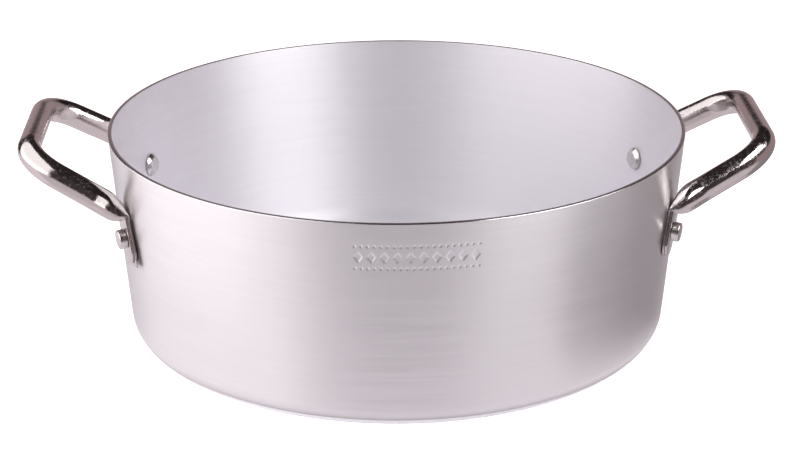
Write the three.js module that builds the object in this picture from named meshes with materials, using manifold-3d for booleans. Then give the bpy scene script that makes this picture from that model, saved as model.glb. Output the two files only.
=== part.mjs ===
// A low, wide aluminium cooking pot with two riveted tube handles.
// Millimetres, +Z up. The origin is the centre of the flat underside, and the handles lie along X.

import * as THREE from 'three';
import { mergeVertices } from 'three/addons/utils/BufferGeometryUtils.js';
import Module from 'manifold-3d';

// Pot shell
const RIM_RADIUS = 200;
const HEIGHT = 148;
const BASE_RADIUS = 187.5; // where the straight wall would meet the base plane
const SHEET = 3;
const CORNER_RADIUS = 18; // outside, between the base and the wall
const SHELL_SEGMENTS = 96;
const CORNER_STEPS = 5;

// Handle tube: an oval section, lower in the plane of the grip's bends than across it
const TUBE_HALF_WIDTH = 7.7;
const TUBE_HALF_DEPTH = 8.9;
const TUBE_WALL = 1.5;
const GRIP_REACH = 250.5; // from the pot's axis to the grip's centreline
const GRIP_HEIGHT = 145;
const GRIP_HALF_SPAN = 60; // from mid grip to where the leg's and grip's centrelines cross
const GRIP_BEND_RADIUS = 29;
const GRIP_BEND_STEPS = 7;
const SECTION_POINTS = 16;

// Flattened tab on each tube end, measured along the tab from the rivet
const TAB_ANGLE = THREE.MathUtils.degToRad(22); // either side of the X axis, round the pot
const TAB_LEAN = THREE.MathUtils.degToRad(12); // the tabs of one handle spread apart downwards
const TAB_FOOT_DROP = 17.5;
const TAB_HALF_WIDTH = 9;
const TAB_HALF_THICKNESS = 1.75;
const TAB_END_STEPS = 4;
const TAB_TIP_TURN = THREE.MathUtils.degToRad(16); // where the tab's round end starts, so its tip is blunt
const SLIT_OVERSHOOT = 2; // how far the slit's cutter runs past the tab's edges

// The fold, where the tab turns into the leg: the tube opens within a few millimetres, with a blunt underside
const ANKLE_RISE = 17; // where the leg's axis meets the tab's middle plane
const FOLD_RISE = 14.5; // where the blunt underside meets the tab's outer face
const FOLD_HALF_WIDTH = 10.2;
const BLUNT_LENGTH = 8; // along the leg's axis, from the ankle to where the underside is straight
const FOLD_TOP_RADIUS = 25;
const FOLD_STEPS = 4;
const OVAL_RISE = 24; // along the leg's axis, from the ankle to where the tube has its full section
const OVAL_STEPS = 3;

// Rivets
const RIVET_HEIGHT = 92.5;
const SHANK_RADIUS = 4;
const OUTER_HEAD_RADIUS = 6.6;
const OUTER_HEAD_HEIGHT = 5.5;
const OUTER_HEAD_CHAMFER = 1.2;
const INNER_HEAD_RADIUS = 8.2;
const INNER_HEAD_HEIGHT = 3.2;
const INNER_HEAD_EDGE = 0.8;
const INNER_HEAD_FLAT_RADIUS = 5.4;
const RIVET_SEGMENTS = 24;

const GAP = 0.3; // between pieces that touch
const HOLE_RADIUS = SHANK_RADIUS + GAP;
const HOLE_CUTTER_LENGTH = 30;
const MERGE_DISTANCE = 1e-4;
const INNER_HEAD_GAP = 2 * GAP; // more than GAP, because the wall curves towards the flat head

const wasm = await Module();
wasm.setup();

const v3 = (x, y, z) => new THREE.Vector3(x, y, z);
const wallSlope = (RIM_RADIUS - BASE_RADIUS) / HEIGHT;
const wallRadius = (height) => BASE_RADIUS + wallSlope * height;

// ---- meshes and solids ----

function toManifold(geometry) {
  const bare = geometry.clone();
  bare.deleteAttribute('normal');
  bare.deleteAttribute('uv');
  const merged = mergeVertices(bare, MERGE_DISTANCE);
  const corners = merged.index.array;
  const kept = [];
  for (let i = 0; i < corners.length; i += 3) {
    const [a, b, c] = [corners[i], corners[i + 1], corners[i + 2]];
    if (a !== b && b !== c && c !== a) kept.push(a, b, c);
  }
  return new wasm.Manifold(new wasm.Mesh({
    numProp: 3,
    vertProperties: merged.attributes.position.array,
    triVerts: new Uint32Array(kept),
  }));
}

function toGeometry(solid) {
  const mesh = solid.getMesh();
  const geometry = new THREE.BufferGeometry();
  geometry.setAttribute('position', new THREE.BufferAttribute(mesh.vertProperties, 3));
  geometry.setIndex(new THREE.BufferAttribute(mesh.triVerts, 1));
  return geometry;
}

// A closed body through a row of rings that all have the same number of points.
function loft(rings) {
  const count = rings[0].length;
  const points = rings.flat();
  const triangles = [];
  for (let ring = 0; ring + 1 < rings.length; ring += 1) {
    for (let i = 0; i < count; i += 1) {
      const a = ring * count + i;
      const b = ring * count + ((i + 1) % count);
      triangles.push(a, b + count, b, a, a + count, b + count);
    }
  }
  for (const [ring, flip] of [[0, false], [rings.length - 1, true]]) {
    const centre = v3(0, 0, 0);
    rings[ring].forEach((point) => centre.addScaledVector(point, 1 / count));
    const hub = points.push(centre) - 1;
    for (let i = 0; i < count; i += 1) {
      const a = ring * count + i;
      const b = ring * count + ((i + 1) % count);
      triangles.push(hub, ...(flip ? [b, a] : [a, b]));
    }
  }
  const geometry = new THREE.BufferGeometry().setFromPoints(points);
  geometry.setIndex(triangles);
  return geometry;
}

// A turned body about +Z from a profile of [radius, height] points, listed from the foot up the outside.
function turned(profile, segments) {
  const outline = profile.map(([radius, height]) => new THREE.Vector2(radius, height));
  return new THREE.LatheGeometry(outline, segments).rotateX(Math.PI / 2);
}

// ---- places on the wall ----

// The wall's outside at an angle round the pot: a point, the way out, the way round and the way up.
function wallPlace(angle, height) {
  const outward = v3(Math.cos(angle), Math.sin(angle), 0);
  const up = outward.clone().multiplyScalar(wallSlope).setZ(1).normalize();
  const round = v3(-Math.sin(angle), Math.cos(angle), 0);
  const normal = new THREE.Vector3().crossVectors(round, up);
  const point = outward.clone().multiplyScalar(wallRadius(height)).setZ(height);
  return { point, normal, round, up };
}

// A matrix that carries a part made about +Z to the wall, with +Z along the wall's outward normal.
function ontoWall(angle, height) {
  const { point, normal, round, up } = wallPlace(angle, height);
  return new THREE.Matrix4().makeBasis(round, up, normal).setPosition(point);
}

function rivetHole(angle) {
  const cutter = new THREE.CylinderGeometry(HOLE_RADIUS, HOLE_RADIUS, HOLE_CUTTER_LENGTH, RIVET_SEGMENTS);
  return toManifold(cutter.rotateX(Math.PI / 2).applyMatrix4(ontoWall(angle, RIVET_HEIGHT)));
}

// ---- pot body ----

// Points of the bend between a flat floor and the sloping wall, from the floor to the wall.
function cornerArc(radius, floorHeight, wallOffset) {
  const tilt = Math.atan(wallSlope);
  const centreHeight = floorHeight + radius;
  const centreRadius = wallRadius(centreHeight) - (wallOffset + radius) / Math.cos(tilt);
  return Array.from({ length: CORNER_STEPS + 1 }, (_, i) => {
    const turn = (i / CORNER_STEPS) * (Math.PI / 2 - tilt);
    return [centreRadius + radius * Math.sin(turn), centreHeight - radius * Math.cos(turn)];
  });
}

function potBody() {
  const rimWidth = SHEET / Math.cos(Math.atan(wallSlope));
  const profile = [
    [0, 0],
    ...cornerArc(CORNER_RADIUS, 0, 0),
    [RIM_RADIUS, HEIGHT],
    [RIM_RADIUS - rimWidth, HEIGHT],
    ...cornerArc(CORNER_RADIUS - SHEET, SHEET, SHEET).reverse(),
    [0, SHEET],
  ];
  let shell = toManifold(turned(profile, SHELL_SEGMENTS));
  for (const side of [0, Math.PI]) {
    for (const angle of [-TAB_ANGLE, TAB_ANGLE]) shell = shell.subtract(rivetHole(side + angle));
  }
  return toGeometry(shell);
}

// ---- handle ----

// Stations of an arc that rounds the corner between two straight stretches.
function bend(before, corner, after, radius, steps) {
  const start = new THREE.Vector3().subVectors(corner, before).normalize();
  const end = new THREE.Vector3().subVectors(after, corner).normalize();
  const axis = new THREE.Vector3().crossVectors(start, end).normalize();
  const angle = start.angleTo(end);
  const tangentLength = radius * Math.tan(angle / 2);
  const entry = corner.clone().addScaledVector(start, -tangentLength);
  const toCentre = new THREE.Vector3().crossVectors(axis, start).multiplyScalar(radius);
  const centre = entry.clone().add(toCentre);
  return Array.from({ length: steps + 1 }, (_, i) => {
    const turn = (i / steps) * angle;
    const point = toCentre.clone().negate().applyAxisAngle(axis, turn).add(centre);
    return { point, axis, turn, direction: start.clone().applyAxisAngle(axis, turn) };
  });
}

// The front tab of the right handle: its directions, and points on its middle plane by rise above the rivet.
function frontTab() {
  const { point, normal, round, up } = wallPlace(-TAB_ANGLE, RIVET_HEIGHT);
  const along = up.clone().multiplyScalar(Math.cos(TAB_LEAN)).addScaledVector(round, Math.sin(TAB_LEAN));
  const width = new THREE.Vector3().crossVectors(along, normal);
  const middle = point.clone().addScaledVector(normal, GAP + TAB_HALF_THICKNESS);
  return { normal, along, width, at: (rise) => middle.clone().addScaledVector(along, rise) };
}

// The straight leg: its direction, and two directions square to it, across the fold and up.
function frontLeg(tab) {
  const ankle = tab.at(ANKLE_RISE);
  const gripCorner = v3(GRIP_REACH, -GRIP_HALF_SPAN, GRIP_HEIGHT);
  const direction = new THREE.Vector3().subVectors(gripCorner, ankle).normalize();
  const across = tab.width.clone().addScaledVector(direction, -tab.width.dot(direction)).normalize();
  const up = new THREE.Vector3().crossVectors(direction, across);
  const inward = v3(0, 1, 0).addScaledVector(direction, -direction.y).normalize();
  return { ankle, gripCorner, direction, across, up, inward };
}

// The side view of the fold, as distances along the leg and above its axis. The inset gives the hollow.
function foldOutline(tab, leg, inset) {
  const sideView = (point) => {
    const fromAnkle = point.clone().sub(leg.ankle);
    return [fromAnkle.dot(leg.direction), fromAnkle.dot(leg.up)];
  };
  const atFold = (outward) => sideView(tab.at(FOLD_RISE).addScaledVector(tab.normal, outward));
  const [startX, startY] = atFold(inset - TAB_HALF_THICKNESS);
  const [contactX, contactY] = atFold(TAB_HALF_THICKNESS);
  const climb = Math.atan2(tab.along.dot(leg.up), tab.along.dot(leg.direction));
  const halfDepth = TUBE_HALF_DEPTH - inset;
  const radius = FOLD_TOP_RADIUS - inset;
  const centreY = halfDepth - radius;
  const straight = (centreY + radius * Math.cos(climb) - startY) / Math.sin(climb);
  const centreX = startX + straight * Math.cos(climb) + radius * Math.sin(climb);
  const bluntTurn = Math.asin((centreX - BLUNT_LENGTH) / radius);
  const toBlunt = straight + radius * (climb - bluntTurn);

  const topAlong = (distance) => {
    if (distance < straight) {
      return [startX + distance * Math.cos(climb), startY + distance * Math.sin(climb)];
    }
    const turn = climb - (distance - straight) / radius;
    return [centreX - radius * Math.sin(turn), centreY + radius * Math.cos(turn)];
  };
  const blunt = (share) => {
    const turn = share * (Math.PI / 2);
    return [
      BLUNT_LENGTH - (BLUNT_LENGTH - contactX - inset) * Math.cos(turn),
      contactY - (halfDepth + contactY) * Math.sin(turn),
    ];
  };
  const topAt = (x) => (x < centreX ? centreY + Math.sqrt(radius ** 2 - (x - centreX) ** 2) : halfDepth);
  return {
    fold: (share) => [topAlong(share * toBlunt), blunt(share)],
    beyond: (x) => [[x, topAt(x)], [x, -halfDepth]],
  };
}

// Stations from the front tab's foot to the end of the grip's bend. A station holds its centre, its unit
// width and depth directions, its half sizes, and how far its section has become oval.
function halfStations(inset) {
  const tab = frontTab();
  const leg = frontLeg(tab);
  const outline = foldOutline(tab, leg, inset);
  const foldWidth = FOLD_HALF_WIDTH - inset;
  const tubeWidth = TUBE_HALF_WIDTH - inset;
  const tabHalfDepth = TAB_HALF_THICKNESS - inset;
  const tabWidth = (widthHere) => (inset ? TAB_HALF_WIDTH + SLIT_OVERSHOOT : widthHere);
  const stations = [];

  const onTab = (rise, halfWidth) => stations.push({
    centre: tab.at(rise), width: tab.width, depth: tab.normal, halfWidth, halfDepth: tabHalfDepth, oval: 0,
  });
  for (let i = 0; i <= TAB_END_STEPS; i += 1) {
    const turn = THREE.MathUtils.lerp(TAB_TIP_TURN, Math.PI / 2, i / TAB_END_STEPS);
    const rise = TAB_HALF_WIDTH * (1 - Math.cos(turn)) - TAB_FOOT_DROP;
    onTab(rise, tabWidth(TAB_HALF_WIDTH * Math.sin(turn)));
  }
  onTab(FOLD_RISE, tabWidth(TAB_HALF_WIDTH));

  const drift = tab.at(FOLD_RISE).sub(leg.ankle).dot(leg.across);
  const inSideView = ([top, bottom], shift, width, halfWidth, oval) => {
    const point = ([x, y]) => leg.ankle.clone().addScaledVector(leg.direction, x)
      .addScaledVector(leg.up, y).addScaledVector(leg.across, shift);
    const [high, low] = [point(top), point(bottom)];
    const depth = new THREE.Vector3().subVectors(low, high);
    const halfDepth = depth.length() / 2;
    const centre = high.lerp(low, 0.5);
    stations.push({ centre, width, depth: depth.normalize(), halfWidth, halfDepth, oval });
  };
  for (let i = 1; i <= FOLD_STEPS; i += 1) {
    const share = i / FOLD_STEPS;
    const width = tab.width.clone().lerp(leg.across, share).normalize();
    inSideView(outline.fold(share), drift * (1 - share), width, foldWidth, 0);
  }
  for (let i = 1; i <= OVAL_STEPS; i += 1) {
    const share = i / OVAL_STEPS;
    const x = THREE.MathUtils.lerp(BLUNT_LENGTH, OVAL_RISE, share);
    inSideView(outline.beyond(x), 0, leg.across, THREE.MathUtils.lerp(foldWidth, tubeWidth, share), share);
    const twist = leg.across.angleTo(leg.inward) * share;
    stations.at(-1).width = leg.across.clone().applyAxisAngle(leg.direction, twist);
    stations.at(-1).depth = leg.up.clone().negate().applyAxisAngle(leg.direction, twist);
  }

  const down = leg.inward.clone().cross(leg.direction);
  const gripMiddle = leg.gripCorner.clone().setY(0);
  const gripArc = bend(leg.ankle, leg.gripCorner, gripMiddle, GRIP_BEND_RADIUS, GRIP_BEND_STEPS);
  gripArc.forEach(({ point, axis, turn }) => {
    stations.push({
      centre: point,
      width: leg.inward.clone().applyAxisAngle(axis, turn),
      depth: down.clone().applyAxisAngle(axis, turn),
      halfWidth: tubeWidth,
      halfDepth: TUBE_HALF_DEPTH - inset,
      oval: 1,
    });
  });
  return stations;
}

// A ring with two round ends and two flat sides, or an ellipse where the station is fully oval.
function ring({ centre, width, depth, halfWidth, halfDepth, oval }) {
  const perEnd = SECTION_POINTS / 2;
  const endRadius = THREE.MathUtils.lerp(Math.min(halfWidth, halfDepth), halfWidth, oval);
  return Array.from({ length: SECTION_POINTS }, (_, i) => {
    const turn = ((i + 0.5) / perEnd - 0.5) * Math.PI;
    const side = i < perEnd ? 1 : -1;
    const across = side * (halfWidth - endRadius) + endRadius * Math.cos(turn);
    const deep = halfDepth * Math.sin(turn);
    return centre.clone().addScaledVector(width, across).addScaledVector(depth, deep);
  });
}

const mirrored = (points) => points.map((point) => v3(point.x, -point.y, point.z));
const bothHalves = (rings) => [...rings, ...rings.map(mirrored).reverse()];

function handle() {
  const outside = halfStations(0).map(ring);
  const inside = halfStations(TUBE_WALL).map(ring);
  inside[0].forEach((point) => point.addScaledVector(frontTab().along, -SLIT_OVERSHOOT));
  let tube = toManifold(loft(bothHalves(outside))).subtract(toManifold(loft(bothHalves(inside))));
  for (const angle of [-TAB_ANGLE, TAB_ANGLE]) tube = tube.subtract(rivetHole(angle));
  return toGeometry(tube);
}

// ---- rivet ----

// Made about +Z with the wall's outside at height 0 and the outer head above it.
function rivet() {
  const innerSeat = -SHEET - INNER_HEAD_GAP;
  const innerEnd = innerSeat - INNER_HEAD_HEIGHT;
  const outerSeat = GAP + 2 * TAB_HALF_THICKNESS + GAP;
  const outerEnd = outerSeat + OUTER_HEAD_HEIGHT;
  return turned([
    [0, innerEnd],
    [INNER_HEAD_FLAT_RADIUS, innerEnd],
    [INNER_HEAD_RADIUS, innerSeat - INNER_HEAD_EDGE],
    [INNER_HEAD_RADIUS, innerSeat],
    [SHANK_RADIUS, innerSeat],
    [SHANK_RADIUS, outerSeat],
    [OUTER_HEAD_RADIUS, outerSeat],
    [OUTER_HEAD_RADIUS, outerEnd - OUTER_HEAD_CHAMFER],
    [OUTER_HEAD_RADIUS - OUTER_HEAD_CHAMFER, outerEnd],
    [0, outerEnd],
  ], RIVET_SEGMENTS);
}

// ---- the assembly ----

const aluminium = new THREE.MeshStandardMaterial({ color: 0xc9c6cb, roughness: 0.38, metalness: 1 });
const polishedSteel = new THREE.MeshStandardMaterial({ color: 0xb8aeb0, roughness: 0.08, metalness: 1 });
const rivetSteel = new THREE.MeshStandardMaterial({ color: 0xaaa29e, roughness: 0.25, metalness: 1 });

function named(name, geometry, material) {
  const mesh = new THREE.Mesh(geometry, material);
  mesh.name = name;
  return mesh;
}

const group = new THREE.Group();
group.add(named('pot_body', potBody(), aluminium));

const rivetShape = rivet();
const sides = [['right', 0, 'front', 'rear'], ['left', Math.PI, 'rear', 'front']];
for (const [side, turn, low, high] of sides) {
  const sideGroup = new THREE.Group();
  sideGroup.rotation.z = turn;
  sideGroup.add(named(`${side}_handle`, handle(), polishedSteel));
  for (const [place, angle] of [[low, -TAB_ANGLE], [high, TAB_ANGLE]]) {
    const mesh = named(`${side}_${place}_rivet`, rivetShape, rivetSteel);
    mesh.applyMatrix4(ontoWall(angle, RIVET_HEIGHT));
    sideGroup.add(mesh);
  }
  group.add(sideGroup);
}

export default group;
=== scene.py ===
"""The finished look of a low aluminium cooking pot with two riveted tube handles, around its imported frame.

Lengths are in metres, in the frame's own axes: +Z up, +X to the right handle, -Y to the front.
"""

import math

import bpy
import numpy as np
from mathutils import Matrix, Vector


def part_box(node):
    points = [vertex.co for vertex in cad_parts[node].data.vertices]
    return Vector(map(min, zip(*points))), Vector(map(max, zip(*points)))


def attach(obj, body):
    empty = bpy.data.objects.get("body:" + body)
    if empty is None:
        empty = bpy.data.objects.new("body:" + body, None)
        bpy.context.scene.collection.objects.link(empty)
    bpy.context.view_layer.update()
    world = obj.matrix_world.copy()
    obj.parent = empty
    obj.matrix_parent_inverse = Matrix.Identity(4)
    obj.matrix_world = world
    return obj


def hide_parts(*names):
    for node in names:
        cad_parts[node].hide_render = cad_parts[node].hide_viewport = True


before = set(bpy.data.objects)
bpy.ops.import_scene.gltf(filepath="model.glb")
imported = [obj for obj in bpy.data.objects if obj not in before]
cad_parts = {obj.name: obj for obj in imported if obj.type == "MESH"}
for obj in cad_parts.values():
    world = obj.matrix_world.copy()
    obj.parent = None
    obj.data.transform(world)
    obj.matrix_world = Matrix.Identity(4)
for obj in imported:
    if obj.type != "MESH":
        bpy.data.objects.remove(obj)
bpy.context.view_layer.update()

MM = 0.001

# ---------------------------------------------------------------- camera

CAMERA_TURN = math.radians(-1.7)  # from the -Y direction, round the pot's axis
CAMERA_RISE = math.radians(21.02)
CAMERA_DISTANCE = 1.56
CAMERA_LENS = 99.0
CAMERA_PAN = math.radians(-0.09)
CAMERA_TILT = math.radians(0.27)
CAMERA_ROLL = math.radians(-0.115)
SENSOR_WIDTH = 36.0


def add_camera():
    pot_low, pot_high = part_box("pot_body")
    target = Vector((0, 0, (pot_low.z + pot_high.z) / 2))
    back = Vector((0, -math.cos(CAMERA_RISE), math.sin(CAMERA_RISE)))
    rise, pan = CAMERA_RISE + CAMERA_TILT, CAMERA_PAN
    axis = Vector((math.sin(pan) * math.cos(rise), -math.cos(pan) * math.cos(rise), math.sin(rise)))
    right = Vector((math.cos(pan), math.sin(pan), 0))
    up = axis.cross(right)
    basis = Matrix((right, up, axis)).transposed()
    turn = Matrix.Rotation(CAMERA_TURN, 3, "Z")
    roll = Matrix.Rotation(CAMERA_ROLL, 3, "Z")
    data = bpy.data.cameras.new("camera")
    data.sensor_fit = "HORIZONTAL"
    data.sensor_width = SENSOR_WIDTH
    data.lens = CAMERA_LENS
    data.clip_end = 100
    camera = bpy.data.objects.new("camera", data)
    place = Matrix.Translation(target + turn @ back * CAMERA_DISTANCE)
    camera.matrix_world = place @ (turn @ basis @ roll).to_4x4()
    bpy.context.scene.collection.objects.link(camera)
    bpy.context.scene.camera = camera


add_camera()

# ---------------------------------------------------------------- dimensions

_, POT_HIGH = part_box("pot_body")
RIM_RADIUS = POT_HIGH.x
HEIGHT = POT_HIGH.z
BASE_RADIUS = 187.5 * MM  # where the straight wall would meet the base plane
SHEET = 3 * MM
CORNER_RADIUS = 18 * MM
WALL_SLOPE = (RIM_RADIUS - BASE_RADIUS) / HEIGHT
WALL_TILT = math.atan(WALL_SLOPE)

TUBE_HALF_WIDTH = 7.7 * MM
TUBE_HALF_DEPTH = 8.9 * MM
TUBE_WALL = 1.5 * MM
GRIP_REACH = 250.5 * MM
GRIP_HEIGHT = 145 * MM
GRIP_HALF_SPAN = 60 * MM
GRIP_BEND_RADIUS = 29 * MM

TAB_ANGLE = math.radians(22)
TAB_LEAN = math.radians(12)
TAB_FOOT_DROP = 17.5 * MM
TAB_HALF_WIDTH = 9 * MM
TAB_HALF_THICKNESS = 1.75 * MM
TAB_EDGE_RADIUS = 0.5 * MM
SLIT_OVERSHOOT = 2 * MM

ANKLE_RISE = 17 * MM
FOLD_RISE = 14.5 * MM
FOLD_HALF_WIDTH = 10.2 * MM
BLUNT_LENGTH = 8 * MM
FOLD_TOP_RADIUS = 25 * MM
OVAL_RISE = 24 * MM

STAMP_TURN = math.radians(-88)  # the middle of the stamped ornament, a little to the right of the front
STAMP_HEIGHT = 125 * MM
STAMP_HALF_LENGTH = 41 * MM
STAMP_HALF_HEIGHT = 9.5 * MM
STAMP_DEPTH = 0.4 * MM
STAMP_GRID = 0.5 * MM
LOZENGE_PITCH = 8.2 * MM
LOZENGE_HALF_WIDTH = 3.1 * MM
LOZENGE_HALF_HEIGHT = 4.2 * MM
DOT_PITCH = 4.1 * MM
DOT_RADIUS = 1.1 * MM
DOT_ROW_RISE = 7.6 * MM

RIVET_HEIGHT = 92.5 * MM
SHANK_RADIUS = 4 * MM
OUTER_HEAD_RADIUS = 6.6 * MM
OUTER_HEAD_HEIGHT = 5.5 * MM
INNER_HEAD_RADIUS = 8.2 * MM
INNER_HEAD_HEIGHT = 3.2 * MM
INNER_HEAD_EDGE = 0.8 * MM
INNER_HEAD_FLAT_RADIUS = 5.4 * MM
OUTER_HEAD_EDGE = 1 * MM
OUTER_HEAD_DOME = 0.35 * MM
GAP = 0.3 * MM
HOLE_RADIUS = SHANK_RADIUS + GAP
INNER_HEAD_GAP = 2 * GAP

# ---------------------------------------------------------------- mesh helpers


def add_object(name, points, faces):
    mesh = bpy.data.meshes.new(name)
    mesh.from_pydata([tuple(p) for p in points], [], [tuple(f) for f in faces])
    mesh.validate()
    mesh.update()
    obj = bpy.data.objects.new(name, mesh)
    bpy.context.scene.collection.objects.link(obj)
    return obj


def loft(name, rings):
    """A closed body through rings that all have the same number of points."""
    rings = np.asarray(rings)
    rows, count, _ = rings.shape
    points = [*rings.reshape(-1, 3), rings[0].mean(axis=0), rings[-1].mean(axis=0)]
    faces = []
    for row in range(rows - 1):
        for i in range(count):
            a, b = row * count + i, row * count + (i + 1) % count
            faces.append((a, a + count, b + count, b))
    first_hub, last_hub = rows * count, rows * count + 1
    for i in range(count):
        j = (i + 1) % count
        faces.append((first_hub, i, j))
        faces.append((last_hub, (rows - 1) * count + j, (rows - 1) * count + i))
    return add_object(name, points, faces)


def turned(name, profile, angles, dent=None):
    """A body turned about Z. The profile runs from the axis, up the outside and back to the axis."""
    radii, heights = np.asarray(profile[1:-1]).T
    radius = np.repeat(radii[:, None], len(angles), axis=1)
    height = np.repeat(heights[:, None], len(angles), axis=1)
    if dent is not None:
        radius = radius - dent(np.asarray(angles)[None, :], height, radius)
    rows, count = radius.shape
    around = np.asarray(angles)[None, :]
    grid = np.stack([radius * np.cos(around), radius * np.sin(around), height], axis=-1)
    points = [*grid.reshape(-1, 3), (0, 0, profile[0][1]), (0, 0, profile[-1][1])]
    faces = []
    for row in range(rows - 1):
        for i in range(count):
            a, b = row * count + i, row * count + (i + 1) % count
            faces.append((a, b, b + count, a + count))
    foot_hub, top_hub = rows * count, rows * count + 1
    for i in range(count):
        j = (i + 1) % count
        faces.append((foot_hub, j, i))
        faces.append((top_hub, (rows - 1) * count + i, (rows - 1) * count + j))
    return add_object(name, points, faces)


def subtract(obj, cutter):
    """Cuts cutter out of obj's mesh, and removes the cutter."""
    modifier = obj.modifiers.new("cut", "BOOLEAN")
    modifier.operation = "DIFFERENCE"
    modifier.solver = "EXACT"
    modifier.object = cutter
    graph = bpy.context.evaluated_depsgraph_get()
    cut = bpy.data.meshes.new_from_object(obj.evaluated_get(graph), depsgraph=graph)
    obj.modifiers.remove(modifier)
    spent = obj.data
    obj.data = cut
    cut.name = obj.name
    bpy.data.meshes.remove(spent)
    bpy.data.objects.remove(cutter)


def smooth(obj, sharp_angle):
    obj.data.polygons.foreach_set("use_smooth", [True] * len(obj.data.polygons))
    obj.data.set_sharp_from_angle(angle=math.radians(sharp_angle))


def arc(centre, radius, start, end, steps):
    """Points of an arc in the (radius, height) plane, from start to end in degrees."""
    turns = np.radians(np.linspace(start, end, steps + 1))
    return [(centre[0] + radius * math.cos(t), centre[1] + radius * math.sin(t)) for t in turns]


# ---------------------------------------------------------------- places on the wall


def wall_radius(height):
    return BASE_RADIUS + WALL_SLOPE * height


def wall_place(angle, height):
    """A point on the wall's outside, and the unit directions out of it, round it and up it."""
    outward = np.array([math.cos(angle), math.sin(angle), 0.0])
    up = outward * WALL_SLOPE + np.array([0.0, 0.0, 1.0])
    up /= np.linalg.norm(up)
    around = np.array([-math.sin(angle), math.cos(angle), 0.0])
    normal = np.cross(around, up)
    point = outward * wall_radius(height) + np.array([0.0, 0.0, height])
    return point, normal, around, up


def onto_wall(angle, height):
    point, normal, around, up = wall_place(angle, height)
    turn = Matrix(np.array([around, up, normal]).T.tolist()).to_4x4()
    return Matrix.Translation(Vector(point)) @ turn


def hole_cutter(angle):
    length = 30 * MM
    rim = HOLE_RADIUS
    cutter = turned(
        "hole_cutter",
        [(0, -length / 2), (rim, -length / 2), (rim, length / 2), (0, length / 2)],
        np.linspace(0, 2 * math.pi, 64, endpoint=False),
    )
    cutter.data.transform(onto_wall(angle, RIVET_HEIGHT))
    return cutter


# ---------------------------------------------------------------- pot body


def corner_arc(radius, floor_height, wall_offset, steps):
    """The bend between a flat floor and the sloping wall, from the floor to the wall."""
    centre_height = floor_height + radius
    centre_radius = wall_radius(centre_height) - (wall_offset + radius) / math.cos(WALL_TILT)
    return arc((centre_radius, centre_height), radius, -90, -math.degrees(WALL_TILT), steps)


def step(value, low, high):
    """0 at low and 1 at high, eased, for whole arrays; low may be above high."""
    share = np.clip((value - low) / (high - low), 0, 1)
    return share * share * (3 - 2 * share)


def stamp_depth(angle, height, radius):
    """How far the stamped ornament presses the wall in: a row of lozenges between two rows of dots."""
    turn = (angle - STAMP_TURN + math.pi) % (2 * math.pi) - math.pi
    along = turn * wall_radius(STAMP_HEIGHT)
    rise = (height - STAMP_HEIGHT) * np.ones_like(along)
    in_lozenge = np.abs((along % LOZENGE_PITCH) - LOZENGE_PITCH / 2) / LOZENGE_HALF_WIDTH
    lozenge = step(in_lozenge + np.abs(rise) / LOZENGE_HALF_HEIGHT, 1.0, 0.72)
    from_dot = np.hypot((along % DOT_PITCH) - DOT_PITCH / 2, np.abs(rise) - DOT_ROW_RISE)
    dot = step(from_dot, DOT_RADIUS, 0.4 * DOT_RADIUS)
    stamped = (np.abs(along) < STAMP_HALF_LENGTH) & (radius > wall_radius(height) - SHEET / 2)
    return np.where(stamped, STAMP_DEPTH * np.maximum(lozenge, dot), 0)


def pot_columns():
    """Angles round the pot, close together where the ornament is."""
    half = (STAMP_HALF_LENGTH + 1 * MM) / wall_radius(STAMP_HEIGHT)
    fine = np.linspace(STAMP_TURN - half, STAMP_TURN + half, round(2 * STAMP_HALF_LENGTH / STAMP_GRID))
    coarse = np.linspace(STAMP_TURN + half, STAMP_TURN + 2 * math.pi - half, 170)
    return np.concatenate([fine, coarse[1:-1]])


def make_pot():
    lip = 0.45 * MM
    rim_width = SHEET / math.cos(WALL_TILT)
    outer = corner_arc(CORNER_RADIUS, 0, 0, 20)
    inner = corner_arc(CORNER_RADIUS - SHEET, SHEET, SHEET, 20)
    wall_top = (wall_radius(HEIGHT - lip), HEIGHT - lip)
    profile = [(0, 0)]
    profile += [(r, 0) for r in np.linspace(0.02, outer[0][0], 10)[:-1]]
    profile += outer
    stamp_low, stamp_high = STAMP_HEIGHT - STAMP_HALF_HEIGHT, STAMP_HEIGHT + STAMP_HALF_HEIGHT
    low_rows = np.linspace(outer[-1][1], stamp_low, 14)[1:-1]
    stamp_rows = np.arange(stamp_low, stamp_high, STAMP_GRID)
    high_rows = np.linspace(stamp_high, wall_top[1], 5)
    profile += [(wall_radius(h), h) for h in (*low_rows, *stamp_rows, *high_rows)]
    profile += arc((RIM_RADIUS - lip, HEIGHT - lip), lip, 0, 90, 5)
    profile += arc((RIM_RADIUS - rim_width + lip, HEIGHT - lip), lip, 90, 180, 5)
    inner_top = profile[-1]
    profile += [tuple(p) for p in np.linspace(inner_top, inner[-1], 16)[1:-1]]
    profile += inner[::-1]
    profile += [(r, SHEET) for r in np.linspace(inner[0][0], 0.02, 12)[1:]]
    profile += [(0, SHEET)]
    pot = turned("pot", profile, pot_columns(), stamp_depth)
    for side in (0, math.pi):
        for angle in (-TAB_ANGLE, TAB_ANGLE):
            subtract(pot, hole_cutter(side + angle))
    smooth(pot, 40)
    return pot


# ---------------------------------------------------------------- handles


def unit(vector):
    return vector / np.linalg.norm(vector)


def rotated(vector, axis, turn):
    """vector turned about a unit axis."""
    along = np.dot(vector, axis) * axis
    return along + (vector - along) * math.cos(turn) + np.cross(axis, vector) * math.sin(turn)


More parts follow.
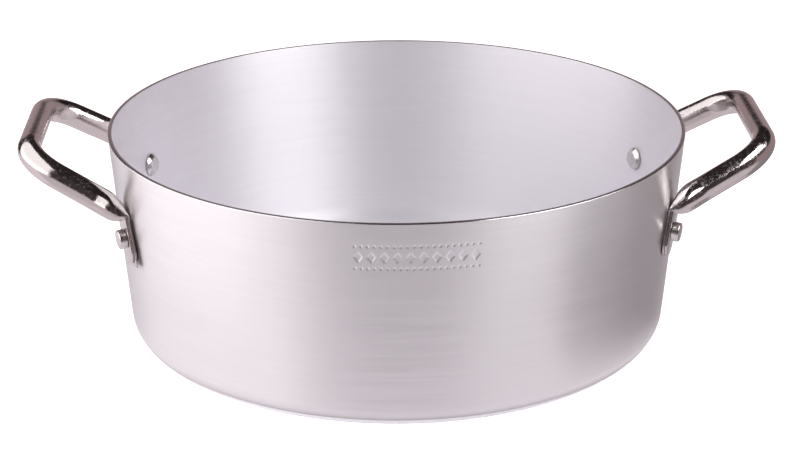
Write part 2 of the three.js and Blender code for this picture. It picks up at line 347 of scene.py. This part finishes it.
def bend(before, corner, after, radius, steps):
    """Points, directions and turns of an arc that rounds the corner between two straight stretches."""
    start, end = unit(corner - before), unit(after - corner)
    axis = unit(np.cross(start, end))
    angle = math.acos(float(np.dot(start, end)))
    entry = corner - start * radius * math.tan(angle / 2)
    to_centre = np.cross(axis, start) * radius
    centre = entry + to_centre
    turns = [angle * i / steps for i in range(steps + 1)]
    return [(centre - rotated(to_centre, axis, t), rotated(start, axis, t), axis, t) for t in turns]


def eased(value):
    value = min(max(value, 0.0), 1.0)
    return value * value * (3 - 2 * value)


def mix(low, high, share):
    return low + (high - low) * share


class Tab:
    """The front tab of the right handle: its directions, and points on its middle plane by their rise."""

    def __init__(self):
        point, self.normal, around, up = wall_place(-TAB_ANGLE, RIVET_HEIGHT)
        self.along = up * math.cos(TAB_LEAN) + around * math.sin(TAB_LEAN)
        self.width = np.cross(self.along, self.normal)
        self.middle = point + self.normal * (GAP + TAB_HALF_THICKNESS)

    def at(self, rise):
        return self.middle + self.along * rise


class Leg:
    """The straight leg above the tab: its ends, and the directions along, across and up from it."""

    def __init__(self, tab):
        self.ankle = tab.at(ANKLE_RISE)
        self.grip_corner = np.array([GRIP_REACH, -GRIP_HALF_SPAN, GRIP_HEIGHT])
        self.direction = unit(self.grip_corner - self.ankle)
        self.across = unit(tab.width - self.direction * np.dot(tab.width, self.direction))
        self.up = np.cross(self.direction, self.across)
        self.inward = unit(np.array([0.0, 1.0, 0.0]) - self.direction * self.direction[1])
        self.twist = math.acos(float(np.dot(self.across, self.inward)))


class FoldOutline:
    """The side view of the fold: distances along the leg and above its axis. inset gives the hollow."""

    def __init__(self, tab, leg, inset):
        def side_view(outward):
            from_ankle = tab.at(FOLD_RISE) + tab.normal * outward - leg.ankle
            return float(np.dot(from_ankle, leg.direction)), float(np.dot(from_ankle, leg.up))

        self.start = side_view(inset - TAB_HALF_THICKNESS)
        self.contact = side_view(TAB_HALF_THICKNESS)
        self.inset = inset
        climb_up, climb_along = np.dot(tab.along, leg.up), np.dot(tab.along, leg.direction)
        self.climb = math.atan2(float(climb_up), float(climb_along))
        self.half_depth = TUBE_HALF_DEPTH - inset
        self.radius = FOLD_TOP_RADIUS - inset
        centre_y = self.half_depth - self.radius
        rise = centre_y + self.radius * math.cos(self.climb) - self.start[1]
        self.straight = rise / math.sin(self.climb)
        centre_x = self.start[0] + self.straight * math.cos(self.climb) + self.radius * math.sin(self.climb)
        self.centre = (centre_x, centre_y)
        blunt_turn = math.asin((centre_x - BLUNT_LENGTH) / self.radius)
        self.to_blunt = self.straight + self.radius * (self.climb - blunt_turn)

    def top_along(self, distance):
        if distance < self.straight:
            x = self.start[0] + distance * math.cos(self.climb)
            return x, self.start[1] + distance * math.sin(self.climb)
        turn = self.climb - (distance - self.straight) / self.radius
        return self.centre[0] - self.radius * math.sin(turn), self.centre[1] + self.radius * math.cos(turn)

    def fold(self, share):
        turn = share * math.pi / 2
        length = BLUNT_LENGTH - self.contact[0] - self.inset
        x = BLUNT_LENGTH - length * math.cos(turn)
        y = self.contact[1] - (self.half_depth + self.contact[1]) * math.sin(turn)
        return self.top_along(share * self.to_blunt), (x, y)

    def beyond(self, x):
        short = self.centre[0] - x
        top = self.centre[1] + math.sqrt(self.radius**2 - short**2) if short > 0 else self.half_depth
        return (x, top), (x, -self.half_depth)


def half_stations(inset):
    """Stations from the front tab's foot to the end of the grip's bend, for the right handle.

    Each holds a centre, unit width and depth directions, half sizes, and the corner radii along both.
    """
    tab = Tab()
    leg = Leg(tab)
    outline = FoldOutline(tab, leg, inset)
    fold_width = FOLD_HALF_WIDTH - inset
    tube_width = TUBE_HALF_WIDTH - inset
    tab_depth = TAB_HALF_THICKNESS - inset
    edge = min(TAB_EDGE_RADIUS, tab_depth)
    stations = []

    def on_tab(rise, half_width):
        half_width = TAB_HALF_WIDTH + SLIT_OVERSHOOT if inset else half_width
        stations.append((tab.at(rise), tab.width, tab.normal, half_width, tab_depth, edge, edge))

    for turn in np.linspace(math.radians(4), math.pi / 2, 26):
        on_tab(TAB_HALF_WIDTH * (1 - math.cos(turn)) - TAB_FOOT_DROP, TAB_HALF_WIDTH * math.sin(turn))
    for rise in np.linspace(TAB_HALF_WIDTH - TAB_FOOT_DROP, FOLD_RISE, 11)[1:]:
        on_tab(rise, TAB_HALF_WIDTH)

    drift = float(np.dot(tab.at(FOLD_RISE) - leg.ankle, leg.across))

    def in_side_view(ends, shift):
        high, low = (leg.ankle + leg.direction * x + leg.up * y + leg.across * shift for x, y in ends)
        half_depth = np.linalg.norm(low - high) / 2
        return (high + low) / 2, unit(low - high), half_depth

    for share in np.linspace(0, 1, 27)[1:]:
        centre, depth, half_depth = in_side_view(outline.fold(share), drift * (1 - share))
        width = unit(mix(tab.width, leg.across, share))
        half_width = mix(TAB_HALF_WIDTH - inset, fold_width, eased(share * 2))
        closed = mix(edge, half_depth, eased(share * 3))
        stations.append((centre, width, depth, half_width, half_depth, min(closed, half_width), closed))

    for share in np.linspace(0, 1, 21)[1:]:
        centre, _, half_depth = in_side_view(outline.beyond(mix(BLUNT_LENGTH, OVAL_RISE, share)), 0)
        width = rotated(leg.across, leg.direction, leg.twist * eased(share))
        depth = rotated(-leg.up, leg.direction, leg.twist * eased(share))
        half_width = mix(fold_width, tube_width, eased(share))
        corner = mix(min(half_depth, half_width), half_width, eased(share))
        stations.append((centre, width, depth, half_width, half_depth, corner, half_depth))

    down = np.cross(leg.inward, leg.direction)
    grip_middle = leg.grip_corner * np.array([1, 0, 1])
    for point, _, axis, turn in bend(leg.ankle, leg.grip_corner, grip_middle, GRIP_BEND_RADIUS, 40):
        width, depth = rotated(leg.inward, axis, turn), rotated(down, axis, turn)
        half_depth = TUBE_HALF_DEPTH - inset
        stations.append((point, width, depth, tube_width, half_depth, tube_width, half_depth))
    return stations


def section(station, per_corner):
    """A rounded rectangle, or an ellipse where the corner radii are the half sizes."""
    centre, width, depth, half_width, half_depth, corner_width, corner_depth = station
    points = []
    for quarter, (sx, sy) in enumerate([(1, -1), (1, 1), (-1, 1), (-1, -1)]):
        for i in range(per_corner):
            turn = math.pi / 2 * (quarter - 1 + (i + 0.5) / per_corner)
            x = sx * (half_width - corner_width) + corner_width * math.cos(turn)
            y = sy * (half_depth - corner_depth) + corner_depth * math.sin(turn)
            points.append(centre + width * x + depth * y)
    return points


def mirrored(rings):
    """The rings with their mirror images in the XZ plane, in order from the front tab to the rear one."""
    other_half = [[p * np.array([1, -1, 1]) for p in ring] for ring in reversed(rings)]
    return rings + other_half


def make_handle(name, turn):
    outside = [section(station, 14) for station in half_stations(0)]
    inside = [section(station, 6) for station in half_stations(TUBE_WALL)]
    inside[0] = [p - Tab().along * SLIT_OVERSHOOT for p in inside[0]]
    handle = loft(name, mirrored(outside))
    subtract(handle, loft("hollow", mirrored(inside)))
    for angle in (-TAB_ANGLE, TAB_ANGLE):
        subtract(handle, hole_cutter(angle))
    handle.data.transform(Matrix.Rotation(turn, 4, "Z"))
    smooth(handle, 35)
    return handle


# ---------------------------------------------------------------- rivets


def make_rivet(name, angle):
    inner_seat = -SHEET - INNER_HEAD_GAP
    inner_end = inner_seat - INNER_HEAD_HEIGHT
    outer_seat = GAP + 2 * TAB_HALF_THICKNESS + GAP
    outer_end = outer_seat + OUTER_HEAD_HEIGHT
    profile = [(0, inner_end)]
    profile += [(INNER_HEAD_FLAT_RADIUS * k, inner_end) for k in (0.3, 0.7, 0.96)]
    profile += [(INNER_HEAD_FLAT_RADIUS * 1.03, inner_end + 0.06 * MM)]
    profile += [(INNER_HEAD_RADIUS - 0.15 * MM, inner_seat - INNER_HEAD_EDGE - 0.05 * MM)]
    profile += [(INNER_HEAD_RADIUS, inner_seat - INNER_HEAD_EDGE + 0.15 * MM)]
    profile += [(INNER_HEAD_RADIUS, inner_seat)]
    profile += [(SHANK_RADIUS, inner_seat), (SHANK_RADIUS, outer_seat)]
    profile += [(OUTER_HEAD_RADIUS - 0.2 * MM, outer_seat), (OUTER_HEAD_RADIUS, outer_seat + 0.2 * MM)]
    edge_centre = (OUTER_HEAD_RADIUS - OUTER_HEAD_EDGE, outer_end - OUTER_HEAD_DOME - OUTER_HEAD_EDGE)
    profile += arc(edge_centre, OUTER_HEAD_EDGE, 0, 78, 8)
    rim_radius, rim_height = profile[-1]
    for turn in np.linspace(0.2, 1.5, 8):
        height = rim_height + (outer_end - rim_height) * math.sin(turn)
        profile.append((rim_radius * math.cos(turn), height))
    profile += [(0, outer_end)]
    rivet = turned(name, profile, np.linspace(0, 2 * math.pi, 72, endpoint=False))
    rivet.data.transform(onto_wall(angle, RIVET_HEIGHT))
    smooth(rivet, 35)
    return rivet


# ---------------------------------------------------------------- node helpers


class Nodes:
    """Short ways to add and link the nodes of one tree."""

    def __init__(self, tree):
        self.tree = tree

    def add(self, kind, links=(), **settings):
        node = self.tree.nodes.new(kind)
        for name, value in settings.items():
            setattr(node, name, value)
        for socket, value in dict(links).items():
            self.feed(node.inputs[socket], value)
        return node

    def feed(self, socket, value):
        if isinstance(value, bpy.types.NodeSocket):
            self.tree.links.new(value, socket)
        else:
            socket.default_value = value

    def math(self, operation, *values):
        return self.add("ShaderNodeMath", enumerate(values), operation=operation).outputs[0]

    def ramp(self, value, low, high, to_low=0.0, to_high=1.0):
        """value from low..high to to_low..to_high, eased at both ends."""
        links = {0: value, 1: low, 2: high, 3: to_low, 4: to_high}
        return self.add("ShaderNodeMapRange", links, interpolation_type="SMOOTHSTEP").outputs[0]

    def noise(self, vector, scale, detail=2.0, roughness=0.5):
        links = {"Vector": vector, "Scale": scale, "Detail": detail, "Roughness": roughness}
        return self.add("ShaderNodeTexNoise", links).outputs["Fac"]

    def colour_mix(self, share, first, second):
        node = self.add("ShaderNodeMix", data_type="RGBA")
        for socket, value in ((node.inputs[0], share), (node.inputs[6], first), (node.inputs[7], second)):
            self.feed(socket, value)
        return node.outputs[2]

    def scaled(self, vector, scale):
        return self.add("ShaderNodeVectorMath", {0: vector, 1: scale}, operation="MULTIPLY").outputs[0]


def principled(name, **values):
    """A new material, its nodes and its shader, with uniform values set on the shader's own sockets."""
    material = bpy.data.materials.new(name)
    material.use_nodes = True
    shader = material.node_tree.nodes["Principled BSDF"]
    for socket, value in values.items():
        shader.inputs[socket.replace("_", " ")].default_value = value
    return material, Nodes(material.node_tree), shader


# ---------------------------------------------------------------- materials

ALUMINIUM_COLOUR = (0.92, 0.905, 0.92, 1)
INSIDE_COLOUR = (0.915, 0.89, 0.935, 1)
INSIDE_MATTNESS = 0.45  # the share of the inside's light that is scattered as by a white surface
INSIDE_ROUGHER = 0.14
DULLING = 0.96  # the colour of the darker clouds in the aluminium, as a share
RIM_ROUGHNESS = 0.2
STEEL_COLOUR = (0.62, 0.565, 0.56, 1)
RIVET_COLOUR = (0.7, 0.665, 0.66, 1)


def turned_metal_vector(nodes, place, radius, along, across):
    """Coordinates stretched along the turning marks: round the wall, and round the floor."""
    x, y, z = place
    links = {
        0: nodes.math("MULTIPLY", x, along),
        1: nodes.math("MULTIPLY", y, along),
        2: nodes.math("MULTIPLY", nodes.math("ADD", z, radius), across),
    }
    return nodes.add("ShaderNodeCombineXYZ", links).outputs[0]


def clouded(nodes, share, colour):
    """The colour, a little darker where share is low."""
    dull = tuple(DULLING * c for c in colour[:3]) + (1,)
    return nodes.colour_mix(share, dull, colour)


def aluminium():
    """Metal turned round the pot's axis, and left more matt inside than outside."""
    material, nodes, shader = principled("turned_aluminium", Anisotropic=0.85, Anisotropic_Rotation=0.25)
    tangent = nodes.add("ShaderNodeTangent", direction_type="RADIAL", axis="Z").outputs[0]
    nodes.feed(shader.inputs["Tangent"], tangent)
    point = nodes.add("ShaderNodeTexCoord").outputs["Object"]
    place = nodes.add("ShaderNodeSeparateXYZ", {0: point}).outputs
    x, y, height = place
    radius = nodes.math("SQRT", nodes.math("ADD", nodes.math("MULTIPLY", x, x), nodes.math("MULTIPLY", y, y)))
    grain = nodes.noise(turned_metal_vector(nodes, place, radius, 25, 2400), 1.0, 2.0, 0.6)
    streaks = nodes.noise(turned_metal_vector(nodes, place, radius, 13, 430), 1.0, 3.0, 0.65)
    clouds = nodes.noise(point, 14.0, 3.0, 0.55)

    wall = nodes.math("MULTIPLY_ADD", height, WALL_SLOPE, BASE_RADIUS)
    into_wall = nodes.math("SUBTRACT", wall, radius)
    inside = nodes.ramp(into_wall, 0.8 * SHEET, 0.95 * SHEET)

    tone = nodes.math("ADD", nodes.math("MULTIPLY", streaks, 0.6), nodes.math("MULTIPLY", clouds, 0.4))
    clear = nodes.ramp(tone, 0.3, 0.7)
    outside_colour = clouded(nodes, clear, ALUMINIUM_COLOUR)
    inside_colour = clouded(nodes, clear, INSIDE_COLOUR)
    nodes.feed(shader.inputs["Base Color"], nodes.colour_mix(inside, outside_colour, inside_colour))
    nodes.feed(shader.inputs["Metallic"], nodes.math("MULTIPLY_ADD", inside, -INSIDE_MATTNESS, 1.0))

    marks = nodes.math("ADD", streaks, nodes.math("MULTIPLY", grain, 0.5))
    wall_roughness = nodes.ramp(marks, 0.5, 1.0, 0.35, 0.42)
    is_rim = nodes.ramp(height, HEIGHT - 0.5 * MM, HEIGHT - 0.1 * MM)
    rough_links = {0: is_rim, 2: wall_roughness, 3: RIM_ROUGHNESS}
    outside_roughness = nodes.add("ShaderNodeMix", rough_links, data_type="FLOAT").outputs[0]
    roughness = nodes.math("MULTIPLY_ADD", inside, INSIDE_ROUGHER, outside_roughness)
    nodes.feed(shader.inputs["Roughness"], roughness)

    relief = nodes.math("ADD", nodes.math("MULTIPLY", grain, 0.3), streaks)
    bump = nodes.add("ShaderNodeBump", {"Strength": 0.5, "Distance": 0.04 * MM, "Height": relief})
    nodes.feed(shader.inputs["Normal"], bump.outputs[0])
    return material


def polished_steel():
    """Bent tube: it reflects sharply, with faint ripples, hazy patches and small worn specks."""
    material, nodes, shader = principled("polished_steel", Metallic=1.0)
    place = nodes.add("ShaderNodeTexCoord").outputs["Object"]
    smudges = nodes.noise(place, 60.0, 3.0, 0.6)
    ripples = nodes.noise(place, 150.0, 2.0, 0.5)
    pits = nodes.noise(place, 450.0, 3.0, 0.6)
    relief = nodes.math("MULTIPLY_ADD", pits, 0.18, ripples)
    shader.inputs["Base Color"].default_value = STEEL_COLOUR
    haze = nodes.ramp(smudges, 0.35, 0.75, 0.07, 0.15)
    specks = nodes.ramp(pits, 0.4, 0.75, 0.0, 0.22)
    nodes.feed(shader.inputs["Roughness"], nodes.math("ADD", haze, specks))
    bump = nodes.add("ShaderNodeBump", {"Strength": 0.3, "Distance": 0.15 * MM, "Height": relief})
    nodes.feed(shader.inputs["Normal"], bump.outputs[0])
    return material


def rivet_steel():
    """Duller than the handles, and scuffed."""
    material, nodes, shader = principled("rivet_steel", Metallic=1.0)
    place = nodes.add("ShaderNodeTexCoord").outputs["Object"]
    scuffs = nodes.noise(place, 500.0, 3.0, 0.6)
    shader.inputs["Base Color"].default_value = RIVET_COLOUR
    nodes.feed(shader.inputs["Roughness"], nodes.ramp(scuffs, 0.3, 0.7, 0.16, 0.3))
    bump = nodes.add("ShaderNodeBump", {"Strength": 0.3, "Distance": 0.05 * MM, "Height": scuffs})
    nodes.feed(shader.inputs["Normal"], bump.outputs[0])
    return material


# ---------------------------------------------------------------- assembly


def finish_piece(piece, node, material):
    piece.data.materials.clear()
    piece.data.materials.append(material)
    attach(piece, "root")
    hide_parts(node)


finish_piece(make_pot(), "pot_body", aluminium())
steel = polished_steel()
finish_piece(make_handle("right_tube_handle", 0), "right_handle", steel)
finish_piece(make_handle("left_tube_handle", math.pi), "left_handle", steel)
rivet_finish = rivet_steel()
RIVETS = {
    "right_front": -TAB_ANGLE,
    "right_rear": TAB_ANGLE,
    "left_rear": math.pi - TAB_ANGLE,
    "left_front": math.pi + TAB_ANGLE,
}
for place, angle in RIVETS.items():
    rivet = make_rivet(f"{place}_rivet_head", angle)
    finish_piece(rivet, f"{place}_rivet", rivet_finish)

# ---------------------------------------------------------------- studio

FLOOR_GLOW = 0.92
FLOOR_HALF_SIZE = 6.0
FLOOR_TINT = (1.0, 0.93, 0.98)
ROOM_TINT = (1.0, 0.78, 0.8)
# What stands round the object, in bands by elevation: the elevation of the band's foot, its tint, and
# its panels from azimuth -180 on, each as the azimuth where it ends and its brightness. Azimuth 0 is
# the camera's side, and it grows to the right.
BANDS = (
    (-90, FLOOR_TINT, ((180, 0.82),)),
    (-50, FLOOR_TINT, ((-150, 0.7), (-105, 0.95), (-62, 1.05), (-22, 0.75), (22, 0.68), (72, 0.8),
                       (105, 0.38), (150, 0.32), (180, 0.6))),
    (-10, ROOM_TINT, ((-150, 0.42), (-125, 0.03), (-30, 0.6), (30, 0.06), (58, 0.1), (180, 0.4))),
    (18, ROOM_TINT, ((-32, 0.03), (30, 0.06), (110, 0.1), (180, 0.02))),
    (37, ROOM_TINT, ((180, 0.03),)),
)
BRIGHTEST = 5.0  # a colour ramp holds 0 to 1, so its panels are stored as shares of this
TURN_EDGE = 10  # degrees over which one panel fades into the next
RISE_EDGE = 8  # and one band into the next


def add_band(nodes, turn, tint, panels):
    """The light of one band by azimuth, where turn goes from 0 to 1 once round."""
    ramp = nodes.add("ShaderNodeValToRGB", {0: turn})
    stops = ramp.color_ramp.elements
    ramp.color_ramp.interpolation = "EASE"
    edges = [(azimuth + 180) / 360 for azimuth, _ in panels[:-1]]
    half_edge = TURN_EDGE / 720
    starts = [0.0, *(edge + half_edge for edge in edges)]
    ends = [*(edge - half_edge for edge in edges), 1.0]
    for (_, brightness), start, end in zip(panels, starts, ends):
        for position in (start, end):
            first_or_last = {0.0: stops[0], 1.0: stops[-1]}
            stop = first_or_last.get(position) or stops.new(position)
            stop.color = (*[brightness / BRIGHTEST] * 3, 1)
    return nodes.scaled(ramp.outputs[0], [BRIGHTEST * share for share in tint])


def add_world():
    """Soft panels in a dark room, as the object sees them. The camera sees white."""
    world = bpy.data.worlds.new("studio")
    world.use_nodes = True
    nodes = Nodes(world.node_tree)
    background = world.node_tree.nodes["Background"]
    turned_to_camera = nodes.add("ShaderNodeVectorRotate", rotation_type="Z_AXIS")
    nodes.feed(turned_to_camera.inputs["Vector"], nodes.add("ShaderNodeTexCoord").outputs["Generated"])
    nodes.feed(turned_to_camera.inputs["Angle"], -CAMERA_TURN)
    x, y, z = nodes.add("ShaderNodeSeparateXYZ", {0: turned_to_camera.outputs[0]}).outputs
    azimuth = nodes.math("ARCTAN2", x, nodes.math("MULTIPLY", y, -1.0))
    turn = nodes.math("MULTIPLY_ADD", azimuth, 0.5 / math.pi, 0.5)
    rise = nodes.math("DEGREES", nodes.math("ARCSINE", z))
    light = (0, 0, 0, 1)
    for foot, tint, panels in BANDS:
        share = nodes.ramp(rise, foot - RISE_EDGE / 2, foot + RISE_EDGE / 2)
        light = nodes.colour_mix(share, light, add_band(nodes, turn, tint, panels))
    camera_ray = nodes.add("ShaderNodeLightPath").outputs["Is Camera Ray"]
    nodes.feed(background.inputs["Color"], nodes.colour_mix(camera_ray, light, (1, 1, 1, 1)))
    bpy.context.scene.world = world


# Two softboxes: azimuth of the middle, distance from the axis and height of the foot, the same of the
# top, width and brightness. The left one leans over the pot, the right one leans away from it.
SOFTBOXES = {
    "left_softbox": (-77, (1.25, 0.0), (0.42, 1.19), 1.8, 1.44),
    "right_softbox": (60, (0.48, 0.33), (0.57, 0.91), 0.52, 5.8),
}


def add_softbox(name, azimuth, foot, top, width, brightness):
    turn = math.radians(azimuth) + CAMERA_TURN
    outward = Vector((math.sin(turn), -math.cos(turn), 0))
    foot, top = (outward * radius + Vector((0, 0, height)) for radius, height in (foot, top))
    upright = (top - foot).normalized()
    across = Vector((0, 0, 1)).cross(outward)
    data = bpy.data.lights.new(name, "AREA")
    data.shape = "RECTANGLE"
    data.size, data.size_y = width, (top - foot).length
    data.energy = brightness * math.pi * data.size * data.size_y
    softbox = bpy.data.objects.new(name, data)
    basis = Matrix((across, upright, across.cross(upright))).transposed()
    softbox.matrix_world = Matrix.Translation((foot + top) / 2) @ basis.to_4x4()
    softbox.visible_camera = False
    bpy.context.scene.collection.objects.link(softbox)


# Patches of floor in the reflections: middle, radius, depth below the floor, brightness. The second is a
# painted contact shadow: a dimmer glowing patch that gives the dark line where the pot stands.
FLOOR_PATCHES = {
    "near_floor": ((-0.07, -0.03), 0.275, 0.1 * MM, 0.85),
    "foot_shade": ((0.0, 0.0), BASE_RADIUS * 1.005, 0.05 * MM, 0.3),
}


def add_floor():
    corners = [(x * FLOOR_HALF_SIZE, y * FLOOR_HALF_SIZE, 0) for x, y in ((-1, -1), (1, -1), (1, 1), (-1, 1))]
    floor = add_object("floor", corners, [(0, 1, 2, 3)])
    material, _, shader = principled("pale_floor", Roughness=0.9)
    shader.inputs["Base Color"].default_value = (0.95, 0.95, 0.95, 1)
    shader.inputs["Emission Color"].default_value = (1, 1, 1, 1)
    shader.inputs["Emission Strength"].default_value = FLOOR_GLOW
    floor.data.materials.append(material)
    floor.visible_glossy = False  # the metal sees the bands below the horizon instead


def add_reflected_floor(name, middle, radius, drop, brightness):
    """A round glowing patch of the floor that only reflections see; a dim one is painted shade."""
    turns = np.linspace(0, 2 * math.pi, 48, endpoint=False)
    outline = [(radius * math.cos(t), radius * math.sin(t), 0) for t in turns]
    patch = add_object(name, outline, [range(len(outline))])
    patch.location = (*middle, -drop)
    material, _, shader = principled(name + "_glow", Roughness=0.9)
    shader.inputs["Base Color"].default_value = (0, 0, 0, 1)
    shader.inputs["Emission Color"].default_value = (*FLOOR_TINT, 1)
    shader.inputs["Emission Strength"].default_value = brightness
    patch.data.materials.append(material)
    patch.visible_camera = patch.visible_diffuse = patch.visible_shadow = False


add_floor()
for patch_name, patch in FLOOR_PATCHES.items():
    add_reflected_floor(patch_name, *patch)
add_world()
for softbox_name, softbox in SOFTBOXES.items():
    add_softbox(softbox_name, *softbox)
bpy.context.scene.view_settings.view_transform = "Standard"
